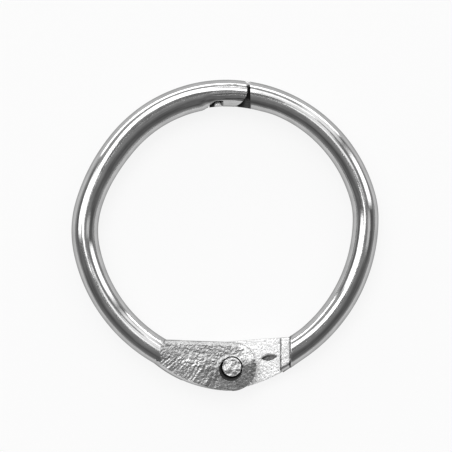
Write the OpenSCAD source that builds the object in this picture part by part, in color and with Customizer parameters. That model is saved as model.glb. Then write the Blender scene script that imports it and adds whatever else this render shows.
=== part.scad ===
// Binder ring, closed and lying flat. Two half rings bent from round steel wire turn on a rivet
// at the bottom and hook together at the top. Each end is pressed to half the wire's thickness,
// so that the two halves lap: the left half lies in front (+Z) at the hinge and at the clasp.
// X runs towards the right half, Y from the hinge to the clasp, Z along the rivet.

/* [Wire] */
// Diameter of the wire
wire_d = 2.62; // [2.2:0.02:3.2]
// Ring's centre to the middle of the wire at the clasp
ring_r = 13.55; // [11.2:0.05:16.5]
// Bend radii of the left half, clasp to hinge, as shares of ring_r
left_bend_r = [0.972, 1.287, 0.657, 1.088]; // [0.4:0.001:1.5]
// Turn of each of these bends, in degrees
left_bend_deg = [51, 22.7, 27, 48.3]; // [5:0.1:100]
// Bend radii of the right half, clasp to hinge, as shares of ring_r
right_bend_r = [1.018, 0.584, 1.125]; // [0.4:0.001:1.5]
// Turn of each of these bends, in degrees
right_bend_deg = [74.6, 15.6, 55.2]; // [5:0.1:100]

/* [Hinge] */
// Rivet's axis to the right of the ring's centre
pivot_x = 0.57; // [-1:0.01:1]
// Rivet's axis inward of the wire's middle line
pivot_in = 0.47; // [0:0.01:1]
// Radius of each tongue's round end
tongue_r = 2.36; // [2:0.02:2.9]
// Thickness of each tongue
tongue_t = 1.03; // [0.8:0.01:1.04]
// Gap between the two tongues
tongue_gap = 0.08; // [0.06:0.01:0.12]
// Rounding of a tongue's outer edge
tongue_edge_r = 0.3; // [0.1:0.05:0.5]
// Radius of the left tongue's long outer edge
left_rim_r = 11.34; // [9:0.02:16]
// Radius of the right tongue's long outer edge
right_rim_r = 16; // [12:0.1:24]
// Rivet's axis to the shoulder where the full wire ends
shoulder_x = 5.72; // [5:0.02:6.4]
// Width of the low step in front of the shoulder
step_w = 0.88; // [0.5:0.02:1.2]
// Height of this step over the tongue
step_h = 0.45; // [0.2:0.05:0.8]

/* [Rivet] */
// Radius of the rivet's shank
rivet_r = 0.8; // [0.6:0.02:0.96]
// Radius of the rivet's heads
rivet_head_r = 1; // [0.9:0.02:1.2]
// Height of each head over its tongue's face
rivet_dome = 0.14; // [0.05:0.01:0.2]
// Running clearance round the shank
rivet_clear = 0.04; // [0.02:0.01:0.08]
// Play under each head
rivet_play = 0.03; // [0.02:0.01:0.06]
// Depth of the recess that each head sits in
recess_depth = 0.4; // [0.2:0.05:0.5]
// Radius of the worn recess in the left tongue
worn_r = 1.13; // [1:0.01:1.4]
// How far the worn recess lies off the rivet's axis, X and Y
worn_shift = [-0.12, -0.25]; // [-0.4:0.01:0.4]

/* [Dent] */
// Length of the leaf-shaped dent in the right tongue
dent_l = 1.75; // [1:0.05:2.2]
// Width of the dent
dent_w = 0.72; // [0.4:0.02:1]
// Depth of the dent
dent_depth = 0.3; // [0.1:0.05:0.5]
// Dent's middle from the rivet's axis, X and Y
dent_at = [3.62, 0.86]; // [-1:0.02:4]

/* [Clasp] */
// Left half's nose, past the ring's centre line
nose_x = 2.07; // [1.6:0.01:2.6]
// Right half's nose, past the ring's centre line
back_nose_x = 1.62; // [1.4:0.01:2.2]
// Gap between a nose and the other half's shoulder
nose_gap = 0.14; // [0.08:0.01:0.3]
// Gap between the two laps
lap_gap = 0.04; // [0.02:0.01:0.08]
// Rounding of the front nose's outer corner
nose_outer_r = 0.7; // [0.3:0.05:1]
// Rounding of the front nose's inner corner
nose_inner_r = 1.6; // [0.5:0.05:1.8]
// Rounding of the back nose's corners
back_nose_r = 0.3; // [0.1:0.05:0.6]
// Rounding of the left half's shoulder on the ring's inner side
shoulder_round_r = 0.45; // [0.1:0.05:0.5]
// Width of each hook, measured in from the wire's inner edge
hook_w = 0.46; // [0.3:0.02:0.7]
// Length of the right half's hook
back_hook_l = 0.7; // [0.5:0.02:0.9]
// Gap on the far side of the right half's hook
notch_free = 0.56; // [0.3:0.02:0.8]
// Gap between the two hooks
hook_gap = 0.14; // [0.08:0.01:0.3]
// Reach of the right half's hook past the lap
back_hook_h = 0.3; // [0.1:0.02:0.5]
// Reach of the left half's hook past the lap
front_hook_h = 0.18; // [0.1:0.02:0.4]
// Length of the left half's hook
front_hook_l = 1.3; // [0.8:0.02:1.5]

/* [Hidden] */
$fn = 96;
wire_r = wire_d / 2;
seam_step = 0.02;                   // by how much every second length of wire is finer
seam_deg = 0.08;                    // how far its ends reach into its neighbours
reach = 3 * wire_d;                 // length that clears the wire on every side of a cut
lip = 0.04;                         // how far a round stands past the edge that it ends
sink = 0.1;                         // depth to which a tongue's edge starts inside the wire
face_run = 0.25;                    // from the wire's last bend to the border of its pressed face
tongue_run = 0.15;                  // from the wire's last bend to the start of its tongue
pivot = [pivot_x, pivot_in - ring_r];
tongue_z = tongue_gap / 2;          // near face of a tongue from the lap plane
face_z = tongue_z + tongue_t;       // far face of a tongue from the lap plane
recess_z = face_z - recess_depth;
head_z = recess_z + rivet_play;
left_start = [0, ring_r, 180];
right_start = [0, ring_r, 0];
left_bends = [for (i = [0 : len(left_bend_r) - 1]) [left_bend_r[i] * ring_r, left_bend_deg[i]]];
right_bends = [for (i = [0 : len(right_bend_r) - 1]) [right_bend_r[i] * ring_r, right_bend_deg[i]]];
left_knots = knots(left_bends, 1, left_start);
right_knots = knots(right_bends, -1, right_start);
// Hooks, from left to right along the clasp
notch_x0 = -back_nose_x - nose_gap / 2;
back_hook_x = notch_x0 + notch_free;
front_hook_x = back_hook_x + back_hook_l + hook_gap;
inner_y = ring_r - wire_r;          // wire's inner edge at the clasp
// The ring's box, which puts the origin under its middle
box_x = (side_x(left_bends, left_knots, 1) + side_x(right_bends, right_knots, -1)) / 2;
box_y = (ring_r + wire_r + pivot.y - tongue_r) / 2;

// A place on the wire is [x, y, heading]. turn is 1 where it bends to the left, -1 to the right.
function side(heading, turn) = turn * [-sin(heading), cos(heading)];
function bend_centre(at, bend, turn) = [at.x, at.y] + bend[0] * side(at[2], turn);
function after(at, bend, turn) =
    let (heading = at[2] + turn * bend[1], c = bend_centre(at, bend, turn))
    concat(c - bend[0] * side(heading, turn), heading);
function knots(bends, turn, at, i = 0) =
    i == len(bends) ? [at]
    : concat([at], knots(bends, turn, after(at, bends[i], turn), i + 1));
// Outermost x of the half whose wire bends through a downward heading
function side_x(bends, places, turn) =
    let (found = [for (i = [0 : len(bends) - 1])
        if ((places[i][2] - 270 + (turn < 0 ? 360 : 0)) * turn <= 0
            && (places[i + 1][2] - 270 + (turn < 0 ? 360 : 0)) * turn >= 0)
            bend_centre(places[i], bends[i], turn).x - turn * bends[i][0]])
    found[0] - turn * wire_r;
// Where a circle round a meets a circle round b, on the given side of the line from a to b
function circles_meet(a, ra, b, rb, hand) =
    let (d = norm(b - a), u = (b - a) / d, m = (ra * ra - rb * rb + d * d) / (2 * d))
    a + m * u + hand * sqrt(ra * ra - m * m) * [-u.y, u.x];
// Where a rounded inner corner starts near the clasp: a lip past the wire's inner edge at x, so that
// the round crosses this edge and doesn't only touch it
function corner_y(bends, x) =
    ring_r - bends[0][0] + sqrt((bends[0][0] - wire_r) ^ 2 - x * x) - lip;
function odd(i) = i % 2;
function angle_of(v) = atan2(v.y, v.x);

// Round wire along a run of bends, then straight on to the shoulder. lead is the extra turn before
// the first bend. Every second length is a hair finer and starts inside its neighbours, so that
// the lengths join as one solid.
module wire(bends, places, turn, lead) {
    for (i = [0 : len(bends) - 1]) {
        c = bend_centre(places[i], bends[i], turn);
        before = i == 0 ? lead : odd(i) * seam_deg;
        swept = bends[i][1] + before + odd(i) * seam_deg;
        from = places[i][2] - turn * (90 + before);
        translate([c.x, c.y, wire_r])
            rotate_extrude(angle = swept, start = turn > 0 ? from : from - swept)
                translate([bends[i][0], 0])
                    circle(r = wire_r - odd(i) * seam_step);
    }
    last = len(bends);
    at = places[last];
    to_shoulder = turn * (pivot.x - at.x) - shoulder_x + wire_r * abs(sin(at[2]));
    translate([at.x, at.y, wire_r])
        rotate([0, 90, at[2]])
            translate([0, 0, -odd(last) * sink])
                cylinder(r = wire_r - odd(last) * seam_step, h = to_shoulder / abs(cos(at[2])) + sink);
}

// Half the height of everything, ahead of a place on the wire: dir is 1 for the front, -1 for the back
module pressed_away(at, dir) {
    translate([at.x, at.y, wire_r])
        rotate(at[2])
            translate([face_run, -reach, dir > 0 ? face_z : -face_z - reach])
                cube([ring_r, 2 * reach, reach]);
}

// Space of the other half's tongue, from the shoulder on. dir is the side that is cleared, turn is
// 1 where the wire comes from the left.
module past_shoulder(dir, turn) {
    translate([pivot.x, pivot.y, wire_r])
        mirror([0, 0, dir > 0 ? 0 : 1])
            mirror([turn > 0 ? 0 : 1, 0, 0])
                translate([-shoulder_x, -reach, -tongue_z])
                    cube([2 * shoulder_x, 2 * reach, reach]);
}

// Profile of a tongue's edge, from its axis or its inside out to x = w
module edge_profile(w) {
    square([w, tongue_t - tongue_edge_r]);
    square([w - tongue_edge_r, tongue_t]);
    translate([w - tongue_edge_r, tongue_t - tongue_edge_r])
        circle(r = tongue_edge_r);
}

// Pressed tongue with its low step, as it lies over the lap plane. at is the wire's last bend.
module tongue(at, turn, rim_r) {
    start = [at.x, at.y] + tongue_run * [cos(at[2]), sin(at[2])];
    inner = start + (wire_r - sink) * side(at[2], turn);
    outer = start - (wire_r - sink) * side(at[2], turn);
    near_r = tongue_r - lip;
    rim_c = circles_meet(pivot, rim_r - near_r, outer, rim_r, -turn);
    rim_deg = angle_of(pivot - rim_c);
    top_deg = angle_of(inner - pivot) - turn * acos(near_r / norm(inner - pivot));
    top = pivot + near_r * [cos(top_deg), sin(top_deg)];
    long_part = [
        inner,
        top,
        pivot,
        pivot + 2 * tongue_r * [cos(rim_deg), sin(rim_deg)],
        outer + tongue_r * (outer - inner) / norm(outer - inner)
    ];
    translate(pivot)
        rotate_extrude()
            edge_profile(tongue_r);
    intersection() {
        translate(rim_c)
            rotate_extrude()
                edge_profile(rim_r);
        translate(inner)
            rotate(angle_of(top - inner))
                mirror([0, turn > 0 ? 0 : 1, 0])
                    rotate([90, 0, 90])
                        translate([-reach, 0, -reach])
                            linear_extrude(height = 2 * reach + norm(top - inner))
                                edge_profile(reach);
        linear_extrude(height = tongue_t)
            polygon(long_part);
    }
    translate([0, 0, -tongue_z - step_h])
        linear_extrude(height = step_h + tongue_t / 2)
            intersection() {
                translate([0, -sink])
                    polygon(long_part);
                translate(rim_c)
                    circle(r = rim_r - sink);
                translate(pivot - [turn > 0 ? shoulder_x + sink : step_w - shoulder_x, reach])
                    square([step_w + sink, 2 * reach]);
            }
}

// Rivet hole with the round recess for its head, from the lap plane to a tongue's face
module rivet_hole() {
    cylinder(r = rivet_r + rivet_clear, h = 2 * face_z, center = true);
    translate([0, 0, recess_z])
        cylinder(r = rivet_head_r + rivet_clear, h = reach);
}

// Corner left over when a quarter of it is rounded: the corner points to +X and +Y
module corner(r) {
    translate([-r, -r, -reach])
        difference() {
            cube([2 * r, 2 * r, 2 * reach]);
            cylinder(r = r, h = 2 * reach);
        }
}

module left_half_ring() {
    at = left_knots[len(left_bends)];
    difference() {
        union() {
            difference() {
                wire(left_bends, left_knots, 1, asin((nose_x + wire_r) / left_bends[0][0]));
                pressed_away(at, 1);
                past_shoulder(-1, 1);
                // The nose keeps the front half of the wire, and its hook reaches past the lap
                difference() {
                    translate([notch_x0, inner_y - wire_r, wire_r + lap_gap / 2 - reach])
                        cube([reach, reach, reach]);
                    translate([front_hook_x, inner_y - wire_r, wire_r - front_hook_h])
                        cube([front_hook_l, wire_r + hook_w, wire_r]);
                }
                translate([nose_x, inner_y - wire_r, -1])
                    cube([reach, reach, reach]);
                translate([nose_x, ring_r + wire_r, 0])
                    corner(nose_outer_r);
                translate([nose_x, corner_y(left_bends, nose_x - nose_inner_r), 0])
                    mirror([0, 1, 0])
                        corner(nose_inner_r);
                translate([notch_x0, corner_y(left_bends, notch_x0 - shoulder_round_r), 0])
                    mirror([0, 1, 0])
                        corner(shoulder_round_r);
                // Side notch that the right half's hook stands in
                translate([notch_x0, inner_y - wire_r, 0])
                    cube([front_hook_x - notch_x0, wire_r + hook_w + hook_gap / 2, reach]);
            }
            translate([0, 0, wire_r + tongue_z])
                tongue(at, 1, left_rim_r);
        }
        translate([pivot.x, pivot.y, wire_r]) {
            rivet_hole();
            translate([worn_shift.x, worn_shift.y, recess_z])
                cylinder(r = worn_r, h = reach);
        }
    }
}

module right_half_ring() {
    at = right_knots[len(right_bends)];
    difference() {
        union() {
            difference() {
                wire(right_bends, right_knots, -1, asin((back_nose_x + wire_r) / right_bends[0][0]));
                pressed_away(at, -1);
                past_shoulder(1, -1);
                // The nose keeps the back half of the wire, and its hook stands up from the lap
                difference() {
                    translate([nose_x + nose_gap - reach, inner_y - wire_r, wire_r - lap_gap / 2])
                        cube([reach, reach, reach]);
                    translate([back_hook_x + back_hook_l / 2, inner_y + hook_w - back_hook_l / 2, 0])
                        cylinder(r = back_hook_l / 2, h = wire_r + back_hook_h);
                }
                translate([-back_nose_x - reach, inner_y - wire_r, -1])
                    cube([reach, reach, reach]);
                translate([-back_nose_x, ring_r + wire_r, 0])
                    mirror([1, 0, 0])
                        corner(back_nose_r);
                translate([-back_nose_x, corner_y(right_bends, back_nose_r - back_nose_x), 0])
                    rotate(180)
                        corner(back_nose_r);
                // Pocket for the left half's hook
                translate([front_hook_x - hook_gap, inner_y - wire_r, wire_r - front_hook_h - hook_gap])
                    cube([front_hook_l + 2 * hook_gap, wire_r + hook_w + hook_gap, reach]);
            }
            translate([0, 0, wire_r - tongue_z])
                mirror([0, 0, 1])
                    tongue(at, -1, right_rim_r);
        }
        translate([pivot.x, pivot.y, wire_r]) {
            mirror([0, 0, 1])
                rivet_hole();
            // Leaf-shaped dent
            translate([dent_at.x, dent_at.y, -tongue_z - dent_depth])
                intersection_for(up = [-1, 1])
                    translate([0, up * (dent_arc_r() - dent_w / 2), 0])
                        cylinder(r = dent_arc_r(), h = reach);
        }
    }
}

// Radius of the two arcs that bound the dent
function dent_arc_r() = (dent_l * dent_l + dent_w * dent_w) / (4 * dent_w);

module hinge_rivet() {
    translate([pivot.x, pivot.y, wire_r])
        rotate_extrude()
            for (dir = [-1, 1])
                mirror([0, dir > 0 ? 0 : 1]) {
                    square([rivet_r, head_z + rivet_dome]);
                    translate([0, head_z]) {
                        square([rivet_head_r, face_z - head_z]);
                        square([rivet_head_r - rivet_dome, face_z - head_z + rivet_dome]);
                        translate([rivet_head_r - rivet_dome, face_z - head_z])
                            circle(r = rivet_dome);
                    }
                }
}

module placed() {
    translate([-box_x, -box_y, 0])
        children();
}

placed() color("silver") left_half_ring();
placed() color("silver") right_half_ring();
placed() color("gainsboro") hinge_rivet();
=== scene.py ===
"""Binder ring, lying flat: two half rings of plated wire on a rivet, hooked together at the top.

The three CAD nodes are replaced by finer meshes of the same pieces. Shapes are built in millimetres
about the ring's own centre, as in the CAD source, then moved into the CAD frame and scaled to metres.
X runs to the right half, Y from the hinge to the clasp, Z up from the floor.
"""
from math import acos, atan2, ceil, cos, degrees, hypot, pi, radians, sin, sqrt

import bmesh
import bpy
import numpy as np
from mathutils import Matrix, Vector, noise


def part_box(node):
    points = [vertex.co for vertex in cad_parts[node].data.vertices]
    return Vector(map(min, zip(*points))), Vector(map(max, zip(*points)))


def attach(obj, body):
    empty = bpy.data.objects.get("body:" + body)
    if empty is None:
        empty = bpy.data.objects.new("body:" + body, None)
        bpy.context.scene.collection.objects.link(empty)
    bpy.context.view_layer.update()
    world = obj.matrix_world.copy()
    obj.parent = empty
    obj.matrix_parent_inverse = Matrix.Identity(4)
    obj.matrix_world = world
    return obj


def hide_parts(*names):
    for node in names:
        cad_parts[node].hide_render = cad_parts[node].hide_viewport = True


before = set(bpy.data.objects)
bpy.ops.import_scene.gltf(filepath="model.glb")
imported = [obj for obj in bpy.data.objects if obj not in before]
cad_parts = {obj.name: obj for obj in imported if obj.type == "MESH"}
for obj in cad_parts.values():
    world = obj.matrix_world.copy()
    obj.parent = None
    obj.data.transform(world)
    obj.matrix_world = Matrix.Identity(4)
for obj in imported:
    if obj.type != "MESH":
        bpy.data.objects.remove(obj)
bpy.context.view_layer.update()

MM = 0.001

# ---------------------------------------------------------------- sizes of the part, in millimetres
# The wire: the ring's mean radius, and each half's arcs from the clasp down (share of it, degrees)
WIRE_R = 1.31
RING_R = 13.55
LEFT_BENDS = [(0.972, 51), (1.287, 22.7), (0.657, 27), (1.088, 48.3)]
RIGHT_BENDS = [(1.018, 74.6), (0.584, 15.6), (1.125, 55.2)]
INNER_Y = RING_R - WIRE_R
# The pressed tongues; heights are from the wire's middle plane
PIVOT = (0.57, 0.47 - RING_R)
TONGUE_R = 2.355
TONGUE_Z = 0.04
FACE_Z = 1.07
LEFT_RIM_R = 11.34
RIGHT_RIM_R = 16.0
SHOULDER_X = 5.72
STEP_W = 0.88
STEP_H = 0.45
TONGUE_RUN = 0.15
SINK = 0.1
LIP = 0.04
FACE_BORDER_X = -6.34
BACK_BORDER_X = 7.3
# The rivet and the recesses round its heads
RIVET_R = 0.8
RIVET_HEAD_R = 1.0
RIVET_SEEN_R = 0.95
RIVET_DOME = 0.14
RIVET_CLEAR = 0.04
RECESS_Z = 0.67
HEAD_Z = 0.70
HEAD_ROUND = 0.1
WORN_R = 1.13
WORN_SHIFT = (-0.12, -0.25)
# The right tongue's leaf-shaped dent
DENT_L = 1.75
DENT_W = 0.72
DENT_DEPTH = 0.3
DENT_AT = (3.62, 0.86)
DENT_TILT = 9
# The clasp: laps, noses, hooks and notch
NOSE_X = 2.07
BACK_NOSE_X = 1.62
SIGHT_GAP = 0.3
SIGHT_TAPER = 0.17
LAP_GAP = 0.04
NOSE_OUTER_R = 0.7
NOSE_INNER_R = 1.6
BACK_NOSE_R = 0.3
BACK_INNER_R = 0.08
SHOULDER_ROUND_R = 0.32
HOOK_W = 0.46
HOOK_GAP = 0.14
NOTCH_X = -1.69
BACK_HOOK_X = -1.13
BACK_HOOK_L = 0.7
BACK_HOOK_H = 0.3
BACK_HOOK_SEEN = 0.25
FRONT_HOOK_X = -0.29
FRONT_HOOK_L = 1.3
FRONT_HOOK_H = 0.18
# How far the cutting tools reach past the part
REACH = 8.0
FAR_Y = REACH * 3
HINGE_Y = (-20, -8)
BELOW = -1
DEEP = -3
ABOVE = 4
ABOVE_FACE = 3.4
EPS = 0.001
# Pitch of the meshes that carry the relief
FACE_PITCH = 0.05
BACK_PITCH = 0.07
LAP_PITCH = 0.1

# The rivet's middle is the one place that both frames share
rivet_low, rivet_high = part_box("hinge_rivet")
shift_x = (rivet_low.x + rivet_high.x) / 2 / MM - PIVOT[0]
shift_y = (rivet_low.y + rivet_high.y) / 2 / MM - PIVOT[1]
SHIFT = Vector((shift_x, shift_y, 0))


# ---------------------------------------------------------------- plain geometry
def side(heading, turn):
    """Unit vector square to a heading, on the side that the path turns to."""
    return np.array([-sin(radians(heading)), cos(radians(heading))]) * turn


def polar(deg):
    return np.array([cos(radians(deg)), sin(radians(deg))])


def bend_run(start, bends, turn, step):
    """Stations (x, y, heading, length so far) along a run of arcs."""
    x, y, heading = start
    at = np.array([x, y], float)
    out = [(at[0], at[1], heading, 0.0)]
    run = 0.0
    for share, deg in bends:
        r = share * RING_R
        centre = at + r * side(heading, turn)
        count = max(2, ceil(radians(deg) * r / step))
        for i in range(1, count + 1):
            h = heading + turn * deg * i / count
            p = centre - r * side(h, turn)
            out.append((p[0], p[1], h, run + radians(deg) * r * i / count))
        run += radians(deg) * r
        heading += turn * deg
        at = centre - r * side(heading, turn)
    return out


def circles_meet(a, ra, b, rb, hand):
    """Where two circles cross; hand is 1 or -1 for the crossing left or right of a to b."""
    a, b = np.array(a), np.array(b)
    d = hypot(*(b - a))
    u = (b - a) / d
    m = (ra * ra - rb * rb + d * d) / (2 * d)
    return a + m * u + hand * sqrt(ra * ra - m * m) * np.array([-u[1], u[0]])


def angle_of(v):
    return degrees(atan2(v[1], v[0]))


def smooth(lo, hi, x):
    t = min(1.0, max(0.0, (x - lo) / (hi - lo)))
    return t * t * (3 - 2 * t)


def make(name, verts, faces):
    mesh = bpy.data.meshes.new(name)
    mesh.from_pydata([tuple(map(float, v)) for v in verts], [], faces)
    mesh.validate()
    obj = bpy.data.objects.new(name, mesh)
    bpy.context.scene.collection.objects.link(obj)
    return obj


def boolean(obj, tool, operation):
    """obj with tool cut away or joined on; tool is used up."""
    mod = obj.modifiers.new("cut", "BOOLEAN")
    mod.object = tool
    mod.operation = operation
    mod.solver = "MANIFOLD"
    bpy.context.view_layer.update()
    done = bpy.data.meshes.new_from_object(obj.evaluated_get(bpy.context.evaluated_depsgraph_get()))
    obj.modifiers.clear()
    old, obj.data = obj.data, done
    bpy.data.meshes.remove(old)
    bpy.data.objects.remove(tool)
    return obj


def cut(obj, *tools):
    for tool in tools:
        boolean(obj, tool, "DIFFERENCE")
    return obj


def join(obj, *tools):
    for tool in tools:
        boolean(obj, tool, "UNION")
    return obj


def prism(outline, z0, z1):
    """Upright prism over a counterclockwise outline."""
    n = len(outline)
    verts = [(x, y, z0) for x, y in outline] + [(x, y, z1) for x, y in outline]
    faces = [list(range(n))[::-1], list(range(n, 2 * n))]
    faces += [(i, (i + 1) % n, (i + 1) % n + n, i + n) for i in range(n)]
    return make("prism", verts, faces)


def block(x0, x1, y0, y1, z0, z1):
    return prism([(x0, y0), (x1, y0), (x1, y1), (x0, y1)], z0, z1)


def circle(cx, cy, r, sides):
    return [(cx + r * cos(2 * pi * k / sides), cy + r * sin(2 * pi * k / sides)) for k in range(sides)]


def disc(cx, cy, r, z0, z1, sides=96):
    return prism(circle(cx, cy, r, sides), z0, z1)


def corner(x, y, r, sx, sy):
    """What is left over when the corner at (x, y), which points to (sx, sy), is rounded by r."""
    past, inside = 0.5, 0.02
    cx, cy = x - sx * r, y - sy * r
    x_past, y_past = x + sx * past, y + sy * past
    arc = [(cx + sx * r * cos(radians(a)), cy + sy * r * sin(radians(a))) for a in range(0, 91, 5)]
    out = [(x_past, cy - inside * sy), *arc, (cx - inside * sx, y_past), (x_past, y_past)]
    out = out if sx * sy < 0 else out[::-1]
    return prism(out, BELOW, ABOVE)


def hook_tip(cx, cy, r, top, sides=48, steps=8):
    """Upright pin with a domed end."""
    dome = 0.26
    verts, faces = [(cx, cy, BELOW)], []
    profile = [(r, BELOW)]
    for a in (pi / 2 * i / steps for i in range(steps)):
        profile.append((r * cos(a), top - dome * (1 - sin(a))))
    for radius, z in profile:
        verts += [(x, y, z) for x, y in circle(cx, cy, radius, sides)]
    verts.append((cx, cy, top))
    for k in range(sides):
        faces.append((0, 1 + (k + 1) % sides, 1 + k))
        last = 1 + (len(profile) - 1) * sides
        faces.append((last + k, last + (k + 1) % sides, len(verts) - 1))
    for i in range(len(profile) - 1):
        for k in range(sides):
            a, b = 1 + i * sides + k, 1 + i * sides + (k + 1) % sides
            faces.append((a, b, b + sides, a + sides))
    return make("hook", verts, faces)


# ---------------------------------------------------------------- surface relief
def ridges(x, y, scale, seed):
    """Net of thin raised veins: 1 on a vein, 0 between."""
    v = noise.noise(Vector((x * scale, y * scale, seed)))
    return max(0.0, 1 - abs(v) * 5.5)


def lumps(x, y, scale, seed):
    return noise.fractal(Vector((x * scale, y * scale, seed)), 0.9, 2.1, 4)


def left_face(x, y, rim):
    """Height of the left half's pressed face over its mean plane, in mm; rim is the way to the edge."""
    px, py = x - PIVOT[0], y - PIVOT[1]
    # The press left the face crowned, so its outer part leans away from the clasp
    across = py - 0.1 - 0.028 * px * px
    lean_up = smooth(-0.8, 0.9, across) * smooth(2.6, 1.2, px)
    crown = -0.07 * (across + 0.3) * lean_up + 0.06 * across * (1 - lean_up)
    # It comes out of the wire at the left border
    crown += 0.10 * smooth(-4.9, -6.9, px)
    worn = smooth(-0.9, 0.9, px) * smooth(0.9, -0.4, py)
    rough = (0.8 - 0.5 * worn) * (1 - 0.4 * smooth(-0.2, -1.4, across))
    warp = 0.22 * noise.noise(Vector((x * 1.7, y * 1.7, 3.7)))
    net = ridges(x + warp, y - warp, 2.2, 1.1) + 0.8 * ridges(x * 1.1 - warp, y + warp, 3.7, 7.3)
    net += 0.5 * ridges(x + warp, y, 5.2, 4.9)
    # Fan of fine scores, square to the outer edge
    fan = smooth(0.9, -0.5, py - 0.035 * px * px + 0.3) * smooth(2.4, 0.6, px)
    lean = atan2(px, 9.5)
    run = px * cos(lean) + py * sin(lean) * 1.3
    score = noise.noise(Vector((run * 4.6, (py - 0.5 * px) * 0.8, 9.2)))
    grain = lumps(x, y, 3.0, 2.2)
    fine = noise.noise(Vector((x * 5.2, y * 5.2, 15.1)))
    relief = 0.028 * net * (1 - 0.4 * fan) + 0.075 * score * fan
    relief = rough * (relief + 0.040 * grain + (0.022 + 0.05 * worn) * fine)
    # Lip thrown up round the recess on its upper left
    wx, wy = px - WORN_SHIFT[0], py - WORN_SHIFT[1]
    ring = hypot(wx, wy)
    upper = smooth(-0.6, 0.4, (wy - 0.75 * wx) / ring)
    lip = 0.055 * upper * smooth(WORN_R + 0.34, WORN_R + 0.12, ring)
    # The inner edge falls off in a bright bevel
    edge = smooth(0.34, 0.04, rim) * smooth(0.2, 1.0, py) * smooth(1.8, 0.8, px)
    return crown - 0.05 + relief * (1 - 0.75 * edge) - 0.1 * edge + lip


def right_face(x, y, rim):
    """Depth of the light hammering on the right half's lap face, in mm."""
    grain = lumps(x, y, 3.6, 5.5)
    pits = max(0.0, noise.noise(Vector((x * 4.8, y * 4.8, 8.8))) - 0.2)
    low = smooth(0.2, -0.9, y - PIVOT[1])
    height = -0.018 + 0.02 * grain - (0.08 + 0.10 * low) * pits
    # Leaf-shaped dent, steep below and sloping above
    u, v = dent_place(x, y)
    inside = 1 - (u / (DENT_L / 2)) ** 2
    if inside > 0:
        half = DENT_W / 2 * inside
        if -half < v < half:
            height -= DENT_DEPTH * min(1.0, (half - v) / 0.3, (half + v) / 0.08)
    # Foot of the low step
    foot = abs(x - (PIVOT[0] + SHOULDER_X - STEP_W - 0.06)) / 0.09
    height -= 0.08 * max(0.0, 1 - foot)
    return height


def dent_place(x, y):
    """A point in the dent's own axes: along it and across it."""
    dx, dy = x - PIVOT[0] - DENT_AT[0], y - PIVOT[1] - DENT_AT[1]
    tilt = radians(DENT_TILT)
    return dx * cos(tilt) + dy * sin(tilt), dy * cos(tilt) - dx * sin(tilt)


def step_face(x, y, rim):
    """Low step in front of the right half's shoulder."""
    foot = abs(x - (PIVOT[0] + SHOULDER_X - 0.05)) / 0.09
    return right_face(x - 3, y + 1.3, rim) - 0.07 * max(0.0, 1 - foot)


def lap_face(x, y, rim):
    """The sheared lap at the clasp, all but flat."""
    return 0.006 * lumps(x, y * 2, 1.5, 41.0) - 0.008


def back_face(x, y, rim):
    """The same press on the right half's back."""
    warp = 0.35 * noise.noise(Vector((x * 1.3, y * 1.3, 23.7)))
    net = ridges(x + warp, y - warp, 1.9, 21.1) + 0.8 * ridges(x - warp, y + warp, 3.1, 27.3)
    edge = smooth(0.34, 0.05, rim)
    return (0.028 * net + 0.04 * lumps(x, y, 3.0, 22.2) - 0.045) * (1 - 0.6 * edge) + 0.12 * edge


def rim_distance(points, outline):
    """How far each point lies from the nearest point of an outline."""
    pts, line = np.array(points), np.array(outline)
    return np.array([np.sqrt(((line - p) ** 2).sum(1).min()) for p in pts])


def die(x0, x1, y0, y1, z_face, z_far, height, step, outline=None):
    """Press tool over a rectangle: one side carries the relief, the other is flat at z_far."""
    up = 1 if z_far > z_face else -1
    nx, ny = ceil((x1 - x0) / step), ceil((y1 - y0) / step)
    xs = [x0 + (x1 - x0) * i / nx for i in range(nx + 1)]
    ys = [y0 + (y1 - y0) * j / ny for j in range(ny + 1)]
    grid = [(x, y) for y in ys for x in xs]
    to_rim = rim_distance(grid, outline) if outline else [0.0] * len(grid)
    verts = [(x, y, z_face + up * height(x, y, rim)) for (x, y), rim in zip(grid, to_rim)]
    row = nx + 1
    faces = []
    for j in range(ny):
        for i in range(nx):
            a, b = j * row + i, (j + 1) * row + i
            faces.append((a, b, b + 1, a + 1) if up > 0 else (a, a + 1, b + 1, b))
    # Round the rectangle: bottom, right, top and left
    rim = list(range(row)) + [j * row + nx for j in range(1, ny + 1)]
    rim += [ny * row + i for i in range(nx - 1, -1, -1)] + [j * row for j in range(ny - 1, 0, -1)]
    base = len(verts)
    verts += [(verts[r][0], verts[r][1], z_far) for r in rim]
    n = len(rim)
    for i in range(n):
        a, b, c, d = rim[i], rim[(i + 1) % n], base + (i + 1) % n, base + i
        faces.append((a, b, c, d) if up > 0 else (d, c, b, a))
    cap = list(range(base, base + n))
    faces.append(cap if up > 0 else cap[::-1])
    return make("die", verts, faces)


# ---------------------------------------------------------------- the wire
def wire_radius(x, y, run, a, seed):
    """Radius of the drawn wire, a hair uneven; a is the angle from the top to the ring's outside."""
    wave = noise.noise(Vector((run * 0.45, sin(a) * 1.1, cos(a) * 1.1 + seed)))
    fine = noise.noise(Vector((run * 1.7, sin(a) * 2.6, cos(a) * 2.6 + seed)))
    return WIRE_R - 0.009 + 0.006 * wave + 0.002 * fine


def right_radius(x, y, run, a, seed):
    """The right half's wire is drawn a little thin on its inner side."""
    place = degrees(atan2(y, x))
    thin = smooth(-62, -50, place) * smooth(76, 66, place)
    return wire_radius(x, y, run, a, seed) - 0.08 * thin * max(0.0, -sin(a)) ** 1.5


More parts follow.
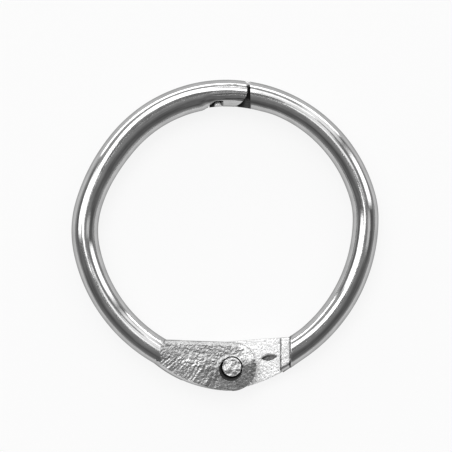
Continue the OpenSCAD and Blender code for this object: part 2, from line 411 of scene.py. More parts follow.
def nose_radius(x, y, run, a, seed):
    """The left half's nose is pressed into long facets with fine creases between them.

    Behind the notch the same press has pushed the wire's inner side out.
    """
    r = wire_radius(x, y, run, a, seed)
    if y <= 0:
        return r
    spread = smooth(-1.95, -2.6, x) * smooth(168, 138, degrees(atan2(y, x)))
    r += 0.19 * spread * max(0.0, -sin(a)) ** 1.5
    here = smooth(-1.5, -1.0, x)
    if here <= 0:
        return r
    for mid, depth in ((25, 0.027), (-1, 0.02), (-17, 0.02), (-51, 0.06)):
        flat = (WIRE_R - depth) / max(0.2, cos(a - radians(mid)))
        r = min(r, r + here * (flat - r))
    width, depth = 3.0, 0.03
    for crease in (-8.5, -29):
        wander = 1.2 * noise.noise(Vector((x * 1.1, crease, seed)))
        off = (degrees(a) - crease - 1.6 * (x - 0.6) - wander) / width
        r -= here * depth * max(0.0, 1 - off * off)
    return r


def tube(name, stations, radius, sides, seed):
    """Wire along the stations; radius(x, y, run, angle, seed) gives its section."""
    verts = []
    for x, y, heading, run, turn in stations:
        out = -side(heading, turn)
        for k in range(sides):
            a = 2 * pi * k / sides
            r = radius(x, y, run, a if a < pi else a - 2 * pi, seed)
            verts.append((x + out[0] * r * sin(a), y + out[1] * r * sin(a), WIRE_R + r * cos(a)))
    turn = stations[0][4]
    faces = []
    for i in range(len(stations) - 1):
        for k in range(sides):
            a, b = i * sides + k, i * sides + (k + 1) % sides
            c, d = b + sides, a + sides
            faces.append((a, b, c, d) if turn > 0 else (a, d, c, b))
    first = list(range(sides))
    last = [(len(stations) - 1) * sides + k for k in range(sides)]
    faces.append(first[::-1] if turn > 0 else first)
    faces.append(last if turn > 0 else last[::-1])
    return make(name, verts, faces)


def half_stations(bends, turn, lead, tail, step=0.3, lead_step=0.2):
    """Stations of one half: lead degrees past the clasp's middle, the bends, then a straight tail.

    Also gives where the tail starts, as (x, y, heading).
    """
    heading = 180 if turn > 0 else 0
    run = bend_run((0.0, RING_R, heading), bends, turn, step)
    r = bends[0][0] * RING_R
    centre = np.array([0.0, RING_R]) + r * side(heading, turn)
    out = []
    count = ceil(radians(lead) * r / lead_step)
    for i in range(count, 0, -1):
        h = heading - turn * lead * i / count
        p = centre - r * side(h, turn)
        out.append((p[0], p[1], h, -radians(lead) * r * i / count, turn))
    out += [(*s, turn) for s in run]
    x, y, h, length, _ = out[-1]
    d = polar(h)
    count = ceil(tail / step)
    for i in range(1, count + 1):
        on = tail * i / count
        out.append((x + d[0] * on, y + d[1] * on, h, length + on, turn))
    return out, (x, y, h)


# ---------------------------------------------------------------- the tongues
def tongue_outline(at, turn, rim_r, step=0.1):
    """Counterclockwise outline, seen from +Z, of a half ring's pressed tongue."""
    x, y, h = at
    start = np.array([x, y]) + TONGUE_RUN * polar(h)
    inner = start + (WIRE_R - SINK) * side(h, turn)
    outer = start - (WIRE_R - SINK) * side(h, turn)
    pivot = np.array(PIVOT)
    near = TONGUE_R - LIP
    rim_c = circles_meet(pivot, rim_r - near, outer, rim_r, -turn)
    rim_deg = angle_of(pivot - rim_c)
    top_deg = angle_of(inner - pivot) - turn * degrees(acos(near / hypot(*(inner - pivot))))
    # Along the outer rim, round the end and back along the straight inner edge
    outer_deg = angle_of(outer - rim_c)
    sweep = (outer_deg - rim_deg + 540) % 360 - 180
    count = ceil(radians(abs(sweep)) * rim_r / step)
    pts = [rim_c + rim_r * polar(outer_deg - sweep * i / count) for i in range(count)]
    turnaround = (top_deg - rim_deg) % 360 if turn > 0 else -((rim_deg - top_deg) % 360)
    count = ceil(radians(abs(turnaround)) * TONGUE_R / step)
    pts += [pivot + TONGUE_R * polar(rim_deg + turnaround * i / count) for i in range(count + 1)]
    top = pivot + TONGUE_R * polar(top_deg)
    count = ceil(hypot(*(inner - top)) / step)
    pts += [top + (inner - top) * i / count for i in range(1, count + 1)]
    return pts if turn > 0 else pts[::-1]


def unit(rows):
    return rows / np.linalg.norm(rows, axis=1)[:, None]


def plate(outline, z_near, z_far, rounding, near_rounding=None, steps=6):
    """Plate over an outline with its far edge rounded, and its near edge too on request.

    rounding(x, y, nx, ny) gives the radius of the round and the slope in degrees where it starts;
    near_rounding gives a radius only.
    """
    pts = np.array(outline)
    n = len(pts)
    along = unit(np.roll(pts, -1, 0) - pts) + unit(pts - np.roll(pts, 1, 0))
    along = unit(along)
    normal = np.stack([along[:, 1], -along[:, 0]], 1)
    up = 1 if z_far > z_near else -1
    rounds = [rounding(p[0], p[1], m[0], m[1]) for p, m in zip(pts, normal)]
    layers = []
    if near_rounding:
        small = [near_rounding(p[0], p[1], m[0], m[1]) for p, m in zip(pts, normal)]
        for t in (pi / 2 * s / steps for s in range(steps)):
            layer = []
            for p, m, r in zip(pts, normal, small):
                layer.append((*(p - m * r * (1 - sin(t))), z_near + up * r * (1 - cos(t))))
            layers.append(layer)
    else:
        layers.append([(p[0], p[1], z_near) for p in pts])
    for s in range(steps + 1):
        layer = []
        for p, m, (r, first) in zip(pts, normal, rounds):
            slope = radians(90 + (first - 90) * s / steps)
            drop = r * (cos(radians(first)) - cos(slope))
            layer.append((*(p - m * r * (1 - sin(slope))), z_far - up * drop))
        layers.append(layer)
    verts = [v for layer in layers for v in layer]
    faces = []
    for k in range(len(layers) - 1):
        for i in range(n):
            a, b = k * n + i, k * n + (i + 1) % n
            faces.append((a, b, b + n, a + n) if up > 0 else (a, a + n, b + n, b))
    low, high = list(range(n)), [(len(layers) - 1) * n + i for i in range(n)]
    faces += [low[::-1], high] if up > 0 else [low, high[::-1]]
    return make("plate", verts, faces)


def left_rounding(x, y, nx, ny):
    """Left tongue's face: sharp at its end, softer on the inner edge, wide along the outer flank."""
    if nx > 0.2:
        return 0.07 + 0.1 * smooth(0.3, 0.8, ny), 0
    if ny > 0:
        return 0.17 + 0.25 * smooth(-3.2, -6.2, x), 0
    # The outer flank is what the press left of the wire's own round
    still_wire = smooth(0.6, -4.4, x)
    least = 0.22
    return least + (WIRE_R - least) * still_wire, 40 * still_wire


def right_rounding(x, y, nx, ny):
    return 0.3, 0


def lap_rounding(x, y, nx, ny):
    return 0.16 if ny < 0 else 0.05


def step_rounding(x, y, nx, ny):
    return (0.74, 8) if ny < 0 else (0.16, 0)


# ---------------------------------------------------------------- the halves
WIRE_LEFT, LEFT_AT = half_stations(LEFT_BENDS, 1, 14.5, 2.6)
WIRE_RIGHT, RIGHT_AT = half_stations(RIGHT_BENDS, -1, 12.5, 2.6)


def corner_y(bends, x):
    """Height of the wire's inner edge near the clasp."""
    r = bends[0][0] * RING_R
    return RING_R - r + sqrt((r - WIRE_R) ** 2 - x * x) - LIP


def build_left():
    """Wire, tongue in front and nose in front."""
    half = tube("left_half", WIRE_LEFT, nose_radius, 176, 1.0)
    shoulder = PIVOT[0] - SHOULDER_X
    near, far = WIRE_R + TONGUE_Z, WIRE_R + FACE_Z
    cut(half, block(shoulder, REACH, *HINGE_Y, BELOW, near))
    outline = tongue_outline(LEFT_AT, 1, LEFT_RIM_R)
    join(half, plate(outline, near, far, left_rounding))
    # Low step behind the tongue, where it grows out of the wire
    step = prism(outline, near - STEP_H, near + 0.3)
    cut(step, block(shoulder + STEP_W, REACH, *HINGE_Y, BELOW, ABOVE))
    join(half, step)
    face_end = PIVOT[0] + 2.8
    cut(half, die(FACE_BORDER_X, face_end, -16.6, -9.6, far, ABOVE_FACE, left_face, FACE_PITCH, outline))
    # Rivet hole, the recess round the head, and where the head has worn it wider
    cut(half, disc(*PIVOT, RIVET_R + RIVET_CLEAR, BELOW, ABOVE))
    cut(half, disc(*PIVOT, RIVET_HEAD_R + RIVET_CLEAR, WIRE_R + RECESS_Z, ABOVE))
    worn_at = (PIVOT[0] + WORN_SHIFT[0], PIVOT[1] + WORN_SHIFT[1])
    cut(half, disc(*worn_at, WORN_R, WIRE_R + RECESS_Z + 0.013, ABOVE))
    # Nose: front half of the wire, with a hook past the lap and a notch for the other hook
    low = INNER_Y - WIRE_R
    lap = WIRE_R + LAP_GAP / 2
    hook_top, hook_end = INNER_Y + HOOK_W, FRONT_HOOK_X + FRONT_HOOK_L
    lap_tool = block(NOTCH_X, REACH, low, FAR_Y, DEEP, lap)
    cut(lap_tool, block(FRONT_HOOK_X, hook_end, low - 0.1, hook_top, WIRE_R - FRONT_HOOK_H, ABOVE))
    cut(half, lap_tool)
    cut(half, block(NOSE_X, REACH, low, FAR_Y, BELOW, ABOVE))
    cut(half, corner(NOSE_X + EPS, RING_R + WIRE_R, NOSE_OUTER_R, 1, 1))
    nose_y = corner_y(LEFT_BENDS, NOSE_X - NOSE_INNER_R)
    cut(half, corner(NOSE_X + EPS, nose_y, NOSE_INNER_R, 1, -1))
    notch_y = corner_y(LEFT_BENDS, NOTCH_X - SHOULDER_ROUND_R)
    cut(half, corner(NOTCH_X, notch_y, SHOULDER_ROUND_R, 1, -1))
    notch = [
        (NOTCH_X - 0.05, low),
        (FRONT_HOOK_X + 0.06, low),
        (FRONT_HOOK_X + 0.03, hook_top + 0.05),
        (-1.0, hook_top + 0.02),
        (NOTCH_X + 0.1, INNER_Y + 0.12),
    ]
    cut(half, prism(notch, BELOW, ABOVE))
    return half


def build_right():
    """Wire, tongue behind with its low step, and nose behind."""
    half = tube("right_half", WIRE_RIGHT, right_radius, 144, 5.0)
    shoulder = PIVOT[0] + SHOULDER_X
    near, far = WIRE_R - TONGUE_Z, WIRE_R - FACE_Z
    cut(half, block(-REACH, shoulder, *HINGE_Y, near - 0.2, ABOVE))
    outline = tongue_outline(RIGHT_AT, -1, RIGHT_RIM_R)
    tongue = plate(outline, near, far, right_rounding, lap_rounding)
    tongue_box = (PIVOT[0] - 2.6, shoulder + 1.2, -16.4, -9.4)
    cut(tongue, die(*tongue_box, near, ABOVE_FACE, right_face, FACE_PITCH, outline))
    join(half, tongue)
    step = plate(outline, near - 0.3, near + STEP_H, step_rounding)
    cut(step, block(-REACH, shoulder - STEP_W, *HINGE_Y, BELOW, ABOVE))
    step_box = (shoulder - 1.2, shoulder + 1.3, -16.4, -9.4)
    cut(step, die(*step_box, near + STEP_H, ABOVE_FACE, step_face, FACE_PITCH, outline))
    join(half, step)
    back_box = (PIVOT[0] - 2.8, BACK_BORDER_X, -16.6, -8.6)
    cut(half, die(*back_box, far, BELOW, back_face, BACK_PITCH, outline))
    cut(half, disc(*PIVOT, RIVET_R + RIVET_CLEAR, BELOW, ABOVE))
    cut(half, disc(*PIVOT, RIVET_HEAD_R + RIVET_CLEAR, BELOW, WIRE_R - RECESS_Z))
    # Nose: back half of the wire, with a hook that stands up from the lap
    low = INNER_Y - WIRE_R
    lap = WIRE_R - LAP_GAP / 2
    wall = NOSE_X + SIGHT_GAP
    lap_tool = die(-3.4, wall, low, RING_R + 1.6, lap, 5, lap_face, LAP_PITCH)
    hook_r = BACK_HOOK_L / 2
    hook_at = (BACK_HOOK_X + hook_r, INNER_Y + HOOK_W - hook_r)
    cut(lap_tool, hook_tip(*hook_at, hook_r, WIRE_R + BACK_HOOK_H + BACK_HOOK_SEEN))
    # The open gap narrows towards the outer rim
    rim_y, taper_y = RING_R + WIRE_R + 0.1, RING_R + 0.45
    sliver = [(wall - SIGHT_TAPER, rim_y), (wall, taper_y), (wall + 0.2, taper_y), (wall + 0.2, rim_y)]
    cut(lap_tool, prism(sliver, DEEP, 6))
    cut(half, lap_tool)
    cut(half, block(-REACH, -BACK_NOSE_X, low, FAR_Y, BELOW, ABOVE))
    cut(half, corner(-BACK_NOSE_X - EPS, RING_R + WIRE_R, BACK_NOSE_R, -1, 1))
    nose_y = corner_y(RIGHT_BENDS, BACK_INNER_R - BACK_NOSE_X)
    cut(half, corner(-BACK_NOSE_X - EPS, nose_y, BACK_INNER_R, -1, -1))
    # Pocket for the front half's hook
    pocket_x = (FRONT_HOOK_X - HOOK_GAP, FRONT_HOOK_X + FRONT_HOOK_L + HOOK_GAP)
    pocket_y = (low, INNER_Y + HOOK_W + HOOK_GAP)
    cut(half, block(*pocket_x, *pocket_y, WIRE_R - FRONT_HOOK_H - HOOK_GAP, 5))
    return half


def build_rivet():
    """Shank with two hammered heads, turned as one closed skin."""
    sides, rings = 128, 22
    top = FACE_Z + RIVET_DOME
    tip = top - 0.02
    flat_r = RIVET_SEEN_R - HEAD_ROUND
    # Radius, height over the middle plane and how much of the hammering reaches there
    profile = []
    for i in range(1, rings + 1):
        r = flat_r * i / rings
        profile.append((r, tip - 0.05 * (r / RIVET_HEAD_R) ** 2, 1.0))
    for t in (20, 40, 60, 80, 90):
        z = top - 0.17 + HEAD_ROUND * cos(radians(t))
        profile.append((flat_r + HEAD_ROUND * sin(radians(t)), z, 0.4))
    profile.append((RIVET_SEEN_R, HEAD_Z + 0.03, 0.0))
    profile.append((RIVET_SEEN_R - 0.03, HEAD_Z, 0.0))
    profile.append((RIVET_R, HEAD_Z, 0.0))
    whole = profile + [(r, -z, w) for r, z, w in reversed(profile)]
    verts, faces = [(*PIVOT, WIRE_R + tip), (*PIVOT, WIRE_R - tip)], []
    for r, z, w in whole:
        sign, seed = (1, 31.0) if z > 0 else (-1, 47.0)
        for x, y in circle(0, 0, r, sides):
            dent = 0.07 * noise.noise(Vector((x * 2.1, y * 2.1, seed)))
            dent += 0.045 * lumps(x, y, 3.3, seed + 3)
            height = z + sign * w * min(0.018, dent - 0.035)
            verts.append((PIVOT[0] + x, PIVOT[1] + y, WIRE_R + height))
    last = 2 + (len(whole) - 1) * sides
    for k in range(sides):
        faces.append((0, 2 + k, 2 + (k + 1) % sides))
        faces.append((1, last + (k + 1) % sides, last + k))
    for i in range(len(whole) - 1):
        for k in range(sides):
            a, b = 2 + i * sides + k, 2 + i * sides + (k + 1) % sides
            faces.append((a, a + sides, b + sides, b))
    return make("rivet", verts, faces)


# ---------------------------------------------------------------- finishing a mesh
def nearest_station(stations, pts, batch=4000):
    """Each point in the wire's own axes: along it, across it towards the outside, and up."""
    path = np.array([(s[0], s[1]) for s in stations])
    head = np.array([s[2] for s in stations])
    run = np.array([s[3] for s in stations])
    turn = stations[0][4]
    out = np.zeros((len(pts), 3), np.float32)
    for lo in range(0, len(pts), batch):
        p = pts[lo:lo + batch]
        d = ((p[:, None, :2] - path[None]) ** 2).sum(2)
        k = d.argmin(1)
        rad = np.radians(head[k])
        along = np.stack([np.cos(rad), np.sin(rad)], 1)
        across = -turn * np.stack([-np.sin(rad), np.cos(rad)], 1)
        off = p[:, :2] - path[k]
        out[lo:lo + batch, 0] = run[k] + (off * along).sum(1)
        out[lo:lo + batch, 1] = (off * across).sum(1)
        out[lo:lo + batch, 2] = p[:, 2] - WIRE_R
    return out


def close_mesh(mesh):
    """Splits the many-sided faces, and drops what that leaves doubled or loose."""
    bm = bmesh.new()
    bm.from_mesh(mesh)
    bmesh.ops.triangulate(bm, faces=[f for f in bm.faces if len(f.verts) > 4])
    # Splitting a face with a hole can leave two copies of a triangle back to back
    same = {}
    for face in bm.faces:
        same.setdefault(frozenset(v.index for v in face.verts), []).append(face)
    doubles = [face for group in same.values() if len(group) > 1 for face in group]
    bmesh.ops.delete(bm, geom=doubles, context="FACES_ONLY")
    bmesh.ops.delete(bm, geom=[e for e in bm.edges if not e.link_faces], context="EDGES")
    bmesh.ops.delete(bm, geom=[v for v in bm.verts if not v.link_edges], context="VERTS")
    bm.to_mesh(mesh)
    bm.free()


def finish_piece(obj, name, node, body, stations, pressed, dirt_and_shade, sharp=42):
    """Writes the attributes that the materials read, then takes the piece into the CAD frame."""
    mesh = obj.data
    close_mesh(mesh)
    co = np.zeros(len(mesh.vertices) * 3)
    mesh.vertices.foreach_get("co", co)
    co = co.reshape(-1, 3)
    place = nearest_station(stations, co) if stations else co - np.array([*PIVOT, WIRE_R])
    written = mesh.attributes.new("wire_place", "FLOAT_VECTOR", "POINT")
    written.data.foreach_set("vector", place.astype(np.float32).ravel())
    for label, rule in (("pressed", pressed), ("dirt_and_shade", dirt_and_shade)):
        written = mesh.attributes.new(label, "FLOAT", "POINT")
        written.data.foreach_set("value", np.array([rule(*p) for p in co], np.float32))
    mesh.transform(Matrix.Scale(MM, 4) @ Matrix.Translation(SHIFT))
    mesh.polygons.foreach_set("use_smooth", [True] * len(mesh.polygons))
    mesh.set_sharp_from_angle(angle=radians(sharp))
    obj.name = name
    mesh.name = name
    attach(obj, body)
    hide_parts(node)
    return obj


# pressed: 0 on the wire, 1 where a die has struck it, 2 where it is frosted. Darkening, painted shade
# and dirt: 0 clean, 1 black.
def left_pressed(x, y, z):
    inside = smooth(FACE_BORDER_X - 0.03, FACE_BORDER_X + 0.03, x) * smooth(-8, -9, y)
    px, py = x - PIVOT[0], y - PIVOT[1]
    white = smooth(0.9, 1.5, px + 0.5 * noise.noise(Vector((x * 2, y * 2, 4.0))))
    white *= smooth(0.45, 0.85, py + 0.7 * noise.noise(Vector((x * 2.4, y * 2.4, 5.0))))
    return inside * (1 + white) * smooth(FACE_Z - 0.45, FACE_Z - 0.25, z - WIRE_R)


def left_dirt_and_shade(x, y, z):
    return left_face_dirt_and_shade(x, y, z) if y < 0 else nose_dirt_and_shade(x, y, z)


def left_face_dirt_and_shade(x, y, z):
    px, py = x - PIVOT[0], y - PIVOT[1]
    hub = hypot(px, py)
    worn = hypot(px - WORN_SHIFT[0], py - WORN_SHIFT[1])
    # Painted shade: near black in the recess round the rivet head and in the worn hole's crescent
    inside = max(smooth(WORN_R + 0.03, WORN_R - 0.01, worn), smooth(1.1, 1.05, hub))
    recess = inside * smooth(FACE_Z - 0.1, FACE_Z - 0.2, z - WIRE_R)
    on_face = smooth(FACE_Z - 0.5, FACE_Z - 0.3, z - WIRE_R)
    # The worn end round the rivet has gone dull
    dull = smooth(0.9, 0.0, py) * smooth(-2.0, 1.3, px) * on_face
    mottle = 0.55 + 1.1 * noise.noise(Vector((x * 3.4, y * 3.4, 17.0)))
    torn = smooth(0.2, 0.06, TONGUE_R - hub) * smooth(1.1, 0.5, py) * smooth(0.8, 1.2, px)
    # A thin film lies on the face, but not on the scored outer flank and the bright upper right
    flank = smooth(-1.6, -3.2, x) * smooth(-12.0, -12.6, y)
    bright = 0.8 * smooth(0.3, 1.1, px) * smooth(0.3, 0.9, py)
    film = 0.38 * (1 - max(flank, bright)) * on_face * smooth(FACE_BORDER_X, FACE_BORDER_X + 0.1, x)
    return max(recess, film * (0.8 + 0.5 * mottle), film + 0.3 * dull * mottle, 0.6 * torn * mottle)


def nose_dirt_and_shade(x, y, z):
    # Painted shade under the lap and on the nose's end, where it faces the gap
    under = smooth(WIRE_R + 0.25, WIRE_R + 0.05, z) * smooth(8, 9, y)
    under *= smooth(NOTCH_X - 0.3, NOTCH_X - 0.1, x)
    end = smooth(NOSE_X - 0.05, NOSE_X - 0.01, x) * smooth(RING_R + 0.9, RING_R + 0.6, y)
    # Painted shade along two creases of the nose, and flecks where its plating is rubbed
    on_nose = smooth(-1.2, -0.7, x)
    a = degrees(atan2(y - RING_R + 0.035 * x * x, z - WIRE_R))
    painted_shade = 0.0
    for crease, start in ((-8.0, -1.1), (-28.5, -0.25)):
        wander = 1.5 * noise.noise(Vector((x * 1.1, crease, 1.0)))
        off = abs(a - crease - 1.4 * (x - 0.6) - wander)
        broken = 0.75 + 0.5 * noise.noise(Vector((x * 3.1, crease, 4.0)))
        painted_shade = max(painted_shade, 0.62 * broken * smooth(3.6, 1.4, off) * smooth(start - 0.2, start + 0.2, x))
    spots = smooth(0.05, 0.2, noise.noise(Vector((x * 4.0, a * 0.2, 12.0))))
    spots *= smooth(-0.2, 0.3, x) * smooth(1.9, 1.5, x) * smooth(26, 29, a) * smooth(41, 37, a)
    return max(under, end, on_nose * painted_shade, 0.85 * spots)


def right_pressed(x, y, z):
    if y > 0:
        wall = NOSE_X + SIGHT_GAP
        # The hook's top is frosted pale as a painted highlight, standing in for a glint
        hook = smooth(WIRE_R + 0.1, WIRE_R + 0.2, z) * smooth(NOSE_X - 0.5, NOSE_X - 0.7, x)
        rim = smooth(RING_R + 0.6, RING_R + 0.9, y) * smooth(wall, wall - 0.02, x)
        return max(2 * hook, 1.4 * rim * smooth(WIRE_R - 0.5, WIRE_R - 0.1, z))
    shoulder = PIVOT[0] + SHOULDER_X
    inside = smooth(shoulder + 0.02, shoulder - 0.02, x) * smooth(-8, -9, y)
    front = smooth(WIRE_R - 0.24, WIRE_R - 0.14, z)
    step = smooth(shoulder - STEP_W - 0.02, shoulder - STEP_W + 0.02, x)
    low_edge = smooth(-12.4, -12.7, y)
    worn_off = step * low_edge * smooth(WIRE_R + STEP_H - 0.05, WIRE_R + STEP_H - 0.16, z)
    return inside * (1 + front) * (1 - worn_off)


def right_painted_shade(x, y, z):
    return lap_painted_shade(x, y, z) if y > 0 else tongue_painted_shade(x, y, z)


def lap_painted_shade(x, y, z):
    wall = NOSE_X + SIGHT_GAP
    lap = smooth(wall + 0.04, wall + 0.01, x)
    lap *= smooth(RING_R + 0.95, RING_R + 0.55, y) * smooth(WIRE_R + 1.1, WIRE_R + 0.7, z)
    unshaded_hook = smooth(WIRE_R + 0.03, WIRE_R + 0.08, z) * smooth(NOSE_X - 0.5, NOSE_X - 0.7, x)
    # Painted shade over the lap, blackest where the clasp leaves it open: behind the nose and in the
    # notch
    open_end = smooth(NOSE_X - 1.4, NOSE_X - 0.9, x)
    open_notch = smooth(FRONT_HOOK_X + 0.3, FRONT_HOOK_X, x) * smooth(INNER_Y + 1.0, INNER_Y + 0.7, y)
    low_corner = smooth(NOSE_X - 0.5, NOSE_X - 0.1, x) * smooth(INNER_Y + 0.9, INNER_Y + 0.5, y)
    painted_shade = 0.3 + 0.66 * max(open_end, open_notch) - 0.1 * low_corner
    return painted_shade * lap * smooth(WIRE_R - 0.35, WIRE_R - 0.1, z) * (1 - unshaded_hook)


def tongue_painted_shade(x, y, z):
    """Painted shade in the recess round the rivet, in the dent, and at the foot of both steps."""
    hub = hypot(x - PIVOT[0], y - PIVOT[1])
    recess = smooth(1.15, 1.05, hub)
    u, v = dent_place(x, y)
    dent = smooth(0.06, 0.16, WIRE_R - TONGUE_Z - z) * smooth(1.02, 0.85, abs(u) / (DENT_L / 2))
    dent *= smooth(0.22, 0.08, v) * smooth(0.5, 0.4, abs(v))
    shoulder = PIVOT[0] + SHOULDER_X
    uneven = 0.8 + 0.6 * noise.noise(Vector((x * 2, y * 3.4, 6.0)))
    # Painted shade at the foot of the low step and of the shoulder, uneven along them
    foot = smooth(0.11, 0.05, abs(x - (shoulder - STEP_W - 0.04)))
    foot *= smooth(WIRE_R + 0.35, WIRE_R + 0.2, z)
    heel = smooth(0.11, 0.05, abs(x - (shoulder - 0.03)))
    heel *= smooth(WIRE_R + 0.8, WIRE_R + 0.6, z)
    return max(recess, 0.72 * dent, 0.7 * uneven * foot, 0.7 * uneven * heel)


def rivet_pressed(x, y, z):
    return smooth(FACE_Z - 0.25, FACE_Z, abs(z - WIRE_R))


def rivet_painted_shade(x, y, z):
    # Painted shade on the sides of the heads, on the shank and round the head's rim
    hub = hypot(x - PIVOT[0], y - PIVOT[1])
    return max(smooth(FACE_Z, FACE_Z - 0.12, abs(z - WIRE_R)), smooth(0.89, 0.94, hub))


# ---------------------------------------------------------------- materials
def node(tree, kind, **values):
    made = tree.nodes.new(kind)
    for key, value in values.items():
        if key in made.inputs:
            made.inputs[key].default_value = value
        else:
            setattr(made, key, value)
    return made


def math(tree, operation, a, b=None):
    made = tree.nodes.new("ShaderNodeMath")
    made.operation = operation
    for socket, value in zip(made.inputs, (a, b)):
        if isinstance(value, (int, float)):
            socket.default_value = value
        elif value is not None:
            tree.links.new(value, socket)
    return made.outputs[0]


def ramp(tree, value, lo, hi, out_lo, out_hi):
    made = tree.nodes.new("ShaderNodeMapRange")
    made.interpolation_type = "SMOOTHSTEP"
    tree.links.new(value, made.inputs["Value"])
    for key, v in (("From Min", lo), ("From Max", hi), ("To Min", out_lo), ("To Max", out_hi)):
        made.inputs[key].default_value = v
    return made.outputs[0]


def attribute(tree, name):
    made = tree.nodes.new("ShaderNodeAttribute")
    made.attribute_name = name
    return made


def stretched_noise(tree, vector, scale, detail, rough=0.5):
    mapping = tree.nodes.new("ShaderNodeMapping")
    mapping.inputs["Scale"].default_value = scale
    tree.links.new(vector, mapping.inputs["Vector"])
    made = node(tree, "ShaderNodeTexNoise", Scale=1.0, Detail=detail, Roughness=rough)
    tree.links.new(mapping.outputs[0], made.inputs["Vector"])
    return made.outputs["Fac"]


def metal(name, tone, smooth_rough, pressed_rough, matte_rough, draw, speckle, frosted):
    """Plated steel: drawn along the wire, grainier where it was pressed, dark where dirt and painted
    shade lie.

    Where pressed runs from 1 to 2 the plating is frosted, which scatters light as a pale matt skin
    does; frosted says whether the piece has such a place. draw and speckle are heights of the relief.
    """
    mat = bpy.data.materials.new(name)
    mat.use_nodes = True
    tree = mat.node_tree
    tree.nodes.clear()
    out = tree.nodes.new("ShaderNodeOutputMaterial")
    skin = tree.nodes.new("ShaderNodeBsdfPrincipled")
    tree.links.new(skin.outputs[0], out.inputs["Surface"])
    place = attribute(tree, "wire_place").outputs["Vector"]
    pressed = attribute(tree, "pressed").outputs["Fac"]
    dirt_and_shade = attribute(tree, "dirt_and_shade").outputs["Fac"]
    matte = ramp(tree, pressed, 1.0, 2.0, 0.0, 1.0)
    lines = stretched_noise(tree, place, (0.35, 9.0, 9.0), 5.0, 0.65)
    cloud = stretched_noise(tree, place, (0.8, 1.6, 1.6), 4.0)
    pits = stretched_noise(tree, place, (6.0, 12.0, 12.0), 3.0, 0.6)
    struck = math(tree, "MINIMUM", pressed, 1.0)
    # Colour: neutral grey, a shade duller in the draw lines, near black in the dirt and the painted
    # shade
    line_shade = ramp(tree, lines, 0.3, 0.7, -0.06, 0.05)
    cloud_shade = ramp(tree, cloud, 0.3, 0.7, -0.04, 0.03)
    frost_pits = ramp(tree, pits, 0.56, 0.68, 0.0, 0.3)
    tint = math(tree, "ADD", math(tree, "ADD", line_shade, cloud_shade), tone)
    tint = math(tree, "ADD", tint, math(tree, "MULTIPLY", matte, 0.31))
    tint = math(tree, "ADD", tint, math(tree, "MULTIPLY", struck, 0.14))
    tint = math(tree, "SUBTRACT", tint, math(tree, "MULTIPLY", matte, frost_pits))
    # Painted shade and dirt darken the colour towards black
    undarkened = math(tree, "SUBTRACT", 1.0, math(tree, "MULTIPLY", dirt_and_shade, 0.995))
    grey = math(tree, "MULTIPLY", tint, undarkened)
    mix = tree.nodes.new("ShaderNodeCombineColor")
    for i in range(3):
        tree.links.new(grey, mix.inputs[i])
    tree.links.new(mix.outputs[0], skin.inputs["Base Color"])
    if frosted:
        sheen = math(tree, "SUBTRACT", 1.0, math(tree, "MULTIPLY", matte, 0.4))
        tree.links.new(sheen, skin.inputs["Metallic"])
    else:
        skin.inputs["Metallic"].default_value = 1.0
    skin.inputs["Specular Tint"].default_value = (0.5, 0.5, 0.5, 1)
    # Roughness: uneven, and higher where it was pressed, frosted, dirty or painted dark
    rough = ramp(tree, cloud, 0.35, 0.65, -0.015, 0.03)
    rough = math(tree, "ADD", rough, ramp(tree, pits, 0.52, 0.72, 0.0, 0.025))
    rough = math(tree, "ADD", rough, smooth_rough)
    to_pressed = ramp(tree, pressed, 0.0, 1.0, 0.0, pressed_rough - smooth_rough)
    rough = math(tree, "ADD", rough, to_pressed)
    rough = math(tree, "ADD", rough, math(tree, "MULTIPLY", matte, matte_rough - pressed_rough))
    rough = math(tree, "ADD", rough, math(tree, "MULTIPLY", dirt_and_shade, 0.3))
    tree.links.new(rough, skin.inputs["Roughness"])
    # Relief finer than the mesh
    grain = math(tree, "MULTIPLY", ramp(tree, pits, 0.3, 0.75, 0.0, 1.0), speckle)
    grain = math(tree, "MULTIPLY", grain, ramp(tree, struck, 0.0, 1.0, 0.12, 1.0))
    relief = math(tree, "ADD", math(tree, "MULTIPLY", lines, draw), grain)
    bump = node(tree, "ShaderNodeBump", Strength=1.0, Distance=0.001)
    tree.links.new(relief, bump.inputs["Height"])
    tree.links.new(bump.outputs[0], skin.inputs["Normal"])
    return mat


# ---------------------------------------------------------------- the pieces
wire_finish = metal(
    "plated_wire_finish", tone=0.50, smooth_rough=0.06, pressed_rough=0.22, matte_rough=0.55,
    draw=0.003, speckle=0.007, frosted=True,
)
rivet_finish = metal(
    "rivet_finish", tone=0.44, smooth_rough=0.26, pressed_rough=0.34, matte_rough=0.5,
    draw=0.0, speckle=0.01, frosted=False,
)
left = finish_piece(
    build_left(), "left_half_look", "left_half_ring", "left_half",
    WIRE_LEFT, left_pressed, left_dirt_and_shade,
)
right = finish_piece(
    build_right(), "right_half_look", "right_half_ring", "right_half",
    WIRE_RIGHT, right_pressed, right_painted_shade,
)
rivet = finish_piece(
    build_rivet(), "rivet_look", "hinge_rivet", "rivet",
    None, rivet_pressed, rivet_painted_shade, sharp=60,
)
for piece, finish in ((left, wire_finish), (right, wire_finish), (rivet, rivet_finish)):
    piece.data.materials.clear()
    piece.data.materials.append(finish)


# ---------------------------------------------------------------- floor, light and camera
FLOOR_WHITE = 0.87


